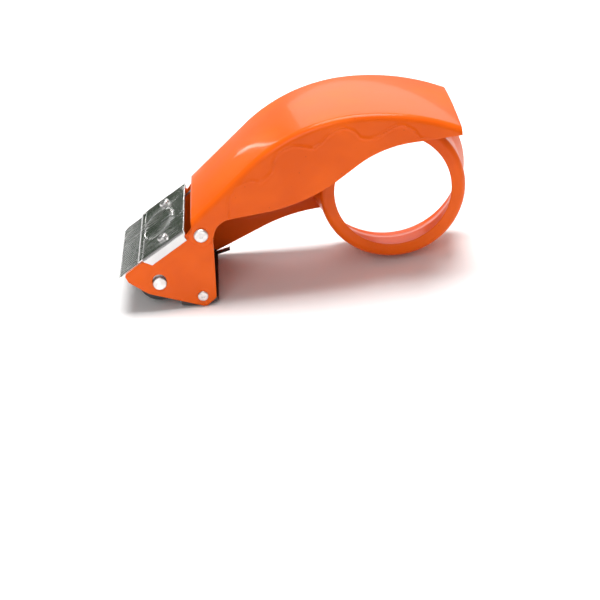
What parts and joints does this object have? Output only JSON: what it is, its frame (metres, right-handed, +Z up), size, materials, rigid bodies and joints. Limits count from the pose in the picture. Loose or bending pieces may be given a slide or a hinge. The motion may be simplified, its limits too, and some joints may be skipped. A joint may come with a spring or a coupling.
{
  "type": "tape dispenser",
  "caption": "Hand-held packing-tape dispenser in orange sheet steel: hollow core drum, hinged arched handle, rubber roller and saw-tooth cutter under a clamp plate.",
  "frame": {"origin": "on the axis of the tape core drum, half-way between the two cheeks", "axes": "+X forward to the cutter, +Y out of the drum's open end, the way the tape roll comes off, +Z up as it stands on the drum's rim and the head's low corners"},
  "size_m": [0.1845, 0.0676, 0.0929],
  "materials": {
    "orange_paint": "glossy enamel on pressed sheet steel",
    "blade_steel": "polished strip steel with ground teeth",
    "plated_steel": "bright zinc plate, lightly brushed",
    "rivet_steel": "satin nickel plated",
    "spring_steel": "drawn wire and stamped clips",
    "black_plastic": "moulded",
    "black_rubber": "smooth ground rubber",
    "black_paint": "thin black paint"
  },
  "bodies": {
    "frame": {"side_plate": "orange_paint", "left_cheek": "orange_paint", "core_drum": "orange_paint", "blade_seat": "orange_paint", "cutter_blade": "blade_steel", "blade_cover": "plated_steel", "blade_screws": "plated_steel", "blade_nuts": "plated_steel", "handle_rivet": "rivet_steel", "handle_spacer": "plated_steel", "guide_rod": "rivet_steel", "flap_spring": "spring_steel"},
    "handle": {"handle_shell": "orange_paint", "handle_spring": "spring_steel"},
    "axle": {"roller_axle": "rivet_steel", "axle_clips": "spring_steel", "roller_washers": "black_plastic"},
    "roller": {"roller_core": "black_plastic", "roller_tyre": "black_rubber"},
    "guide": {"guide_roller": "black_plastic"},
    "flap": {"guide_flap": "black_paint"}
  },
  "joints": [
    {"name": "handle_hinge", "type": "hinge", "parent": "frame", "child": "handle", "pos_m": [0.0986, 0, -0.00175], "axis": [0, 1, 0], "range_deg": [0, 25], "stiffness_Nm_per_rad": 0.15, "springref_deg": -28.65},
    {"name": "axle_float", "type": "slide", "parent": "frame", "child": "axle", "axis": [0, 0, 1], "range_m": [0, 0.0015]},
    {"name": "roller_spin", "type": "hinge", "parent": "axle", "child": "roller", "pos_m": [0.1223, 0, -0.026], "axis": [0, 1, 0], "continuous": true},
    {"name": "guide_spin", "type": "hinge", "parent": "frame", "child": "guide", "pos_m": [0.1016, 0, -0.03535], "axis": [0, 1, 0], "continuous": true},
    {"name": "flap_hinge", "type": "hinge", "parent": "frame", "child": "flap", "pos_m": [0.1016, 0, -0.03535], "axis": [0, 1, 0], "range_deg": [0, 20], "stiffness_Nm_per_rad": 0.02, "springref_deg": -22.92, "deforming": ["flap_spring"]}
  ]
}
